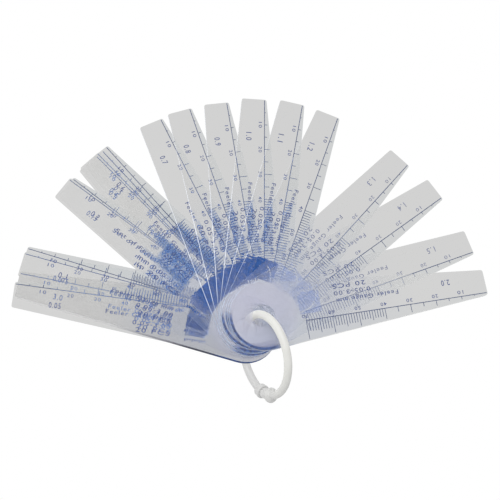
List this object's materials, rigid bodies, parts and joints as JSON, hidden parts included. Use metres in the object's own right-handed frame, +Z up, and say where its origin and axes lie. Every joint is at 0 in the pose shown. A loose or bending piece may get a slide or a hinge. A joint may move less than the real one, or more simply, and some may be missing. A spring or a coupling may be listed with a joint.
{
  "type": "feeler gauge",
  "caption": "Feeler gauge with translucent plastic leaves, each printed with a millimetre scale and its thickness, fanned out on a white plastic snap ring.",
  "frame": {"origin": "middle of the footprint of the fanned-out gauge, on the level of the ring's lowest point", "axes": "+Z up, square to the flat leaves; the fan opens towards +Y, the ring reaches out of the stack towards -Y, and the thickest of the upper leaves points along +X"},
  "size_m": [0.1701, 0.1168, 0.0314],
  "materials": {
    "leaf_plastic": "satin, translucent",
    "ring_plastic": "satin"
  },
  "bodies": {
    "ring_lower": {"ring_lower": "ring_plastic"},
    "ring_upper": {"ring_upper": "ring_plastic"},
    "leaf_3_0": {"leaf_3_0": "leaf_plastic"},
    "leaf_0_05": {"leaf_0_05": "leaf_plastic"},
    "leaf_0_075": {"leaf_0_075": "leaf_plastic"},
    "leaf_0_1": {"leaf_0_1": "leaf_plastic"},
    "leaf_0_15": {"leaf_0_15": "leaf_plastic"},
    "leaf_0_2": {"leaf_0_2": "leaf_plastic"},
    "leaf_0_3": {"leaf_0_3": "leaf_plastic"},
    "leaf_0_4": {"leaf_0_4": "leaf_plastic"},
    "leaf_0_5": {"leaf_0_5": "leaf_plastic"},
    "leaf_0_6": {"leaf_0_6": "leaf_plastic"},
    "leaf_0_7": {"leaf_0_7": "leaf_plastic"},
    "leaf_0_8": {"leaf_0_8": "leaf_plastic"},
    "leaf_0_9": {"leaf_0_9": "leaf_plastic"},
    "leaf_1_0": {"leaf_1_0": "leaf_plastic"},
    "leaf_1_1": {"leaf_1_1": "leaf_plastic"},
    "leaf_1_2": {"leaf_1_2": "leaf_plastic"},
    "leaf_1_3": {"leaf_1_3": "leaf_plastic"},
    "leaf_1_4": {"leaf_1_4": "leaf_plastic"},
    "leaf_1_5": {"leaf_1_5": "leaf_plastic"},
    "leaf_2_0": {"leaf_2_0": "leaf_plastic"}
  },
  "joints": [
    {"name": "ring_opening", "type": "hinge", "parent": "ring_lower", "child": "ring_upper", "pos_m": [0.00122, -0.02913, 0.02637], "axis": [-0.9483, 0, 0.3173], "range_deg": [0, 30]},
    {"name": "leaf_3_0_swing", "type": "hinge", "parent": "ring_lower", "child": "leaf_3_0", "pos_m": [-0.00473, -0.02882, 0.0074], "axis": [0, 0, 1], "range_deg": [-201.1, 74.9]},
    {"name": "leaf_0_05_swing", "type": "hinge", "parent": "ring_lower", "child": "leaf_0_05", "pos_m": [-0.005, -0.02758, 0.00898], "axis": [0, 0, 1], "range_deg": [-204.6, 71.4]},
    {"name": "leaf_0_075_swing", "type": "hinge", "parent": "ring_lower", "child": "leaf_0_075", "pos_m": [-0.00446, -0.02742, 0.00909], "axis": [0, 0, 1], "range_deg": [-196.9, 79.1]},
    {"name": "leaf_0_1_swing", "type": "hinge", "parent": "ring_lower", "child": "leaf_0_1", "pos_m": [-0.00432, -0.02794, 0.00923], "axis": [0, 0, 1], "range_deg": [-195.2, 80.8]},
    {"name": "leaf_0_15_swing", "type": "hinge", "parent": "ring_lower", "child": "leaf_0_15", "pos_m": [-0.00396, -0.02705, 0.0094], "axis": [0, 0, 1], "range_deg": [-175, 101]},
    {"name": "leaf_0_2_swing", "type": "hinge", "parent": "ring_lower", "child": "leaf_0_2", "pos_m": [-0.00348, -0.02784, 0.00962], "axis": [0, 0, 1], "range_deg": [-174.3, 101.7]},
    {"name": "leaf_0_3_swing", "type": "hinge", "parent": "ring_lower", "child": "leaf_0_3", "pos_m": [-0.00358, -0.02769, 0.00992], "axis": [0, 0, 1], "range_deg": [-165.8, 110.2]},
    {"name": "leaf_0_4_swing", "type": "hinge", "parent": "ring_lower", "child": "leaf_0_4", "pos_m": [-0.00355, -0.02711, 0.01033], "axis": [0, 0, 1], "range_deg": [-165.4, 110.6]},
    {"name": "leaf_0_5_swing", "type": "hinge", "parent": "ring_lower", "child": "leaf_0_5", "pos_m": [-0.00318, -0.02761, 0.01082], "axis": [0, 0, 1], "range_deg": [-164.2, 111.8]},
    {"name": "leaf_0_6_swing", "type": "hinge", "parent": "ring_lower", "child": "leaf_0_6", "pos_m": [-0.00298, -0.02719, 0.01142], "axis": [0, 0, 1], "range_deg": [-163.1, 112.9]},
    {"name": "leaf_0_7_swing", "type": "hinge", "parent": "ring_lower", "child": "leaf_0_7", "pos_m": [-0.00285, -0.02768, 0.01213], "axis": [0, 0, 1], "range_deg": [-147.2, 128.8]},
    {"name": "leaf_0_8_swing", "type": "hinge", "parent": "ring_lower", "child": "leaf_0_8", "pos_m": [-0.00248, -0.02709, 0.01293], "axis": [0, 0, 1], "range_deg": [-139.5, 136.5]},
    {"name": "leaf_0_9_swing", "type": "hinge", "parent": "ring_lower", "child": "leaf_0_9", "pos_m": [-0.00228, -0.02703, 0.01383], "axis": [0, 0, 1], "range_deg": [-129.9, 146.1]},
    {"name": "leaf_1_0_swing", "type": "hinge", "parent": "ring_lower", "child": "leaf_1_0", "pos_m": [-0.00194, -0.02593, 0.01482], "axis": [0, 0, 1], "range_deg": [-120.1, 155.9]},
    {"name": "leaf_1_1_swing", "type": "hinge", "parent": "ring_lower", "child": "leaf_1_1", "pos_m": [-0.00168, -0.0257, 0.01593], "axis": [0, 0, 1], "range_deg": [-110.3, 165.7]},
    {"name": "leaf_1_2_swing", "type": "hinge", "parent": "ring_lower", "child": "leaf_1_2", "pos_m": [-0.00157, -0.02658, 0.01713], "axis": [0, 0, 1], "range_deg": [-101, 175]},
    {"name": "leaf_1_3_swing", "type": "hinge", "parent": "ring_lower", "child": "leaf_1_3", "pos_m": [-0.00204, -0.02698, 0.01843], "axis": [0, 0, 1], "range_deg": [-79.2, 196.8]},
    {"name": "leaf_1_4_swing", "type": "hinge", "parent": "ring_lower", "child": "leaf_1_4", "pos_m": [-0.00077, -0.02714, 0.01982], "axis": [0, 0, 1], "range_deg": [-67.5, 208.5]},
    {"name": "leaf_1_5_swing", "type": "hinge", "parent": "ring_lower", "child": "leaf_1_5", "pos_m": [-0.00047, -0.02792, 0.02133], "axis": [0, 0, 1], "range_deg": [-51.8, 224.2]},
    {"name": "leaf_2_0_swing", "type": "hinge", "parent": "ring_lower", "child": "leaf_2_0", "pos_m": [-0.00027, -0.02871, 0.02312], "axis": [0, 0, 1], "range_deg": [-41.2, 234.8]}
  ]
}
